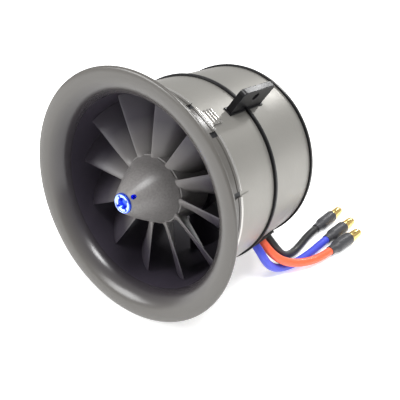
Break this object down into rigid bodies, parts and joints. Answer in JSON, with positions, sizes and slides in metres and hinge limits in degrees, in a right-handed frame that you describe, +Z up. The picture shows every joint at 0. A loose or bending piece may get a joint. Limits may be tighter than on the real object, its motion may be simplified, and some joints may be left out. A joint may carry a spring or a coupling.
{
  "type": "electric ducted fan",
  "caption": "Ducted fan unit for a model jet: flared intake lip, slim duct with mounting ears, bladed rotor on a brushless motor, stator vanes, and coloured leads with bullet plugs.",
  "frame": {"origin": "on the bench, under the middle of the fan's box with its leads left out", "axes": "+Z is up from the bench, +Y runs from the intake to the outlet under the fan's axis, which dips 6.5 degrees towards the outlet because the fan rests on its rim and its outlet band"},
  "size_m": [0.0978, 0.1088, 0.0884],
  "materials": {
    "sleeve": "dark grey, glossy, almost like polished metal",
    "lip": "satin dark grey",
    "trim": "black gloss",
    "stator": "near black, satin",
    "rotor": "mid grey, satin, fine speckle",
    "nut_blue": "blue anodised",
    "adapter": "turned",
    "steel": "ground",
    "bell": "black anodised",
    "motor_base": "turned",
    "screw_black": "black oxide",
    "magnet": "nickel plated",
    "laminations": "dark lacquer",
    "copper": "enamelled copper",
    "grommet": "black",
    "lead_orange": "orange silicone",
    "lead_blue": "blue silicone",
    "lead_black": "black silicone",
    "heat_shrink": "dark grey",
    "gold": "gold plated"
  },
  "bodies": {
    "duct": {"intake_lip": "lip", "front_duct": "sleeve", "mount_ring": "trim", "mount_ears": "trim", "rear_duct": "sleeve", "outlet_band": "trim", "motor_cup": "stator", "stator_vanes": "stator", "lead_fairing": "stator", "lead_grommet": "grommet", "motor_base": "motor_base", "motor_screws": "screw_black", "front_bearing": "steel", "rear_bearing": "steel", "stator_core": "laminations", "stator_windings": "copper", "motor_wires": "copper", "lead_orange": "lead_orange", "shrink_orange": "heat_shrink", "plug_orange": "gold", "lead_blue": "lead_blue", "shrink_blue": "heat_shrink", "plug_blue": "gold", "lead_black": "lead_black", "shrink_black": "heat_shrink", "plug_black": "gold"},
    "rotor": {"rotor_hub": "rotor", "rotor_blades": "rotor", "spinner": "rotor", "prop_adapter": "adapter", "spinner_nut": "nut_blue", "motor_shaft": "steel", "motor_bell": "bell", "motor_magnets": "magnet", "shaft_clip": "steel"}
  },
  "joints": [
    {"name": "rotor_spin", "type": "hinge", "parent": "duct", "child": "rotor", "pos_m": [0, -0.02495, 0.04345], "axis": [0, 0.9937, -0.1124], "continuous": true}
  ]
}
